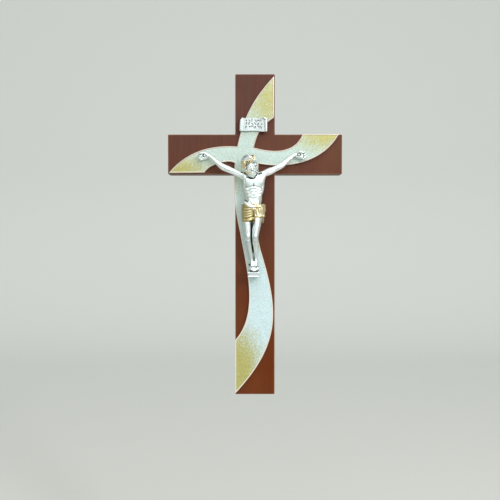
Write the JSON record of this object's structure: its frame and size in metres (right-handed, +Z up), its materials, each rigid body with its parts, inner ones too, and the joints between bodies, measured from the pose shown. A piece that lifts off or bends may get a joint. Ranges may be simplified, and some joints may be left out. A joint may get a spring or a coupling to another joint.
{
  "type": "wall crucifix",
  "caption": "Flat dark wooden wall cross with a wavy enamelled metal overlay, a small title scroll and a cast corpus on a footrest.",
  "frame": {"origin": "on the flat back of the cross, at the centre of the crossing, where it lies against the wall", "axes": "+Z up along the upright, +X to the viewer's right along the arms, -Y towards the viewer, +Y into the wall"},
  "size_m": [0.141, 0.0346, 0.26],
  "materials": {
    "dark_wood": "dark brown stain under a satin lacquer",
    "pearl_enamel": "pearl enamel with gold speckle at the blades' ends, bare champagne metal rim",
    "scroll_silver": "silver plate with dark patina in its strokes",
    "cast_silver": "bright silver plate, antique gold loincloth and hair, dark patina in the recesses"
  },
  "bodies": {
    "root": {"cross_board": "dark_wood", "overlay_plate": "pearl_enamel", "title_scroll": "scroll_silver", "corpus": "cast_silver"}
  },
  "joints": []
}
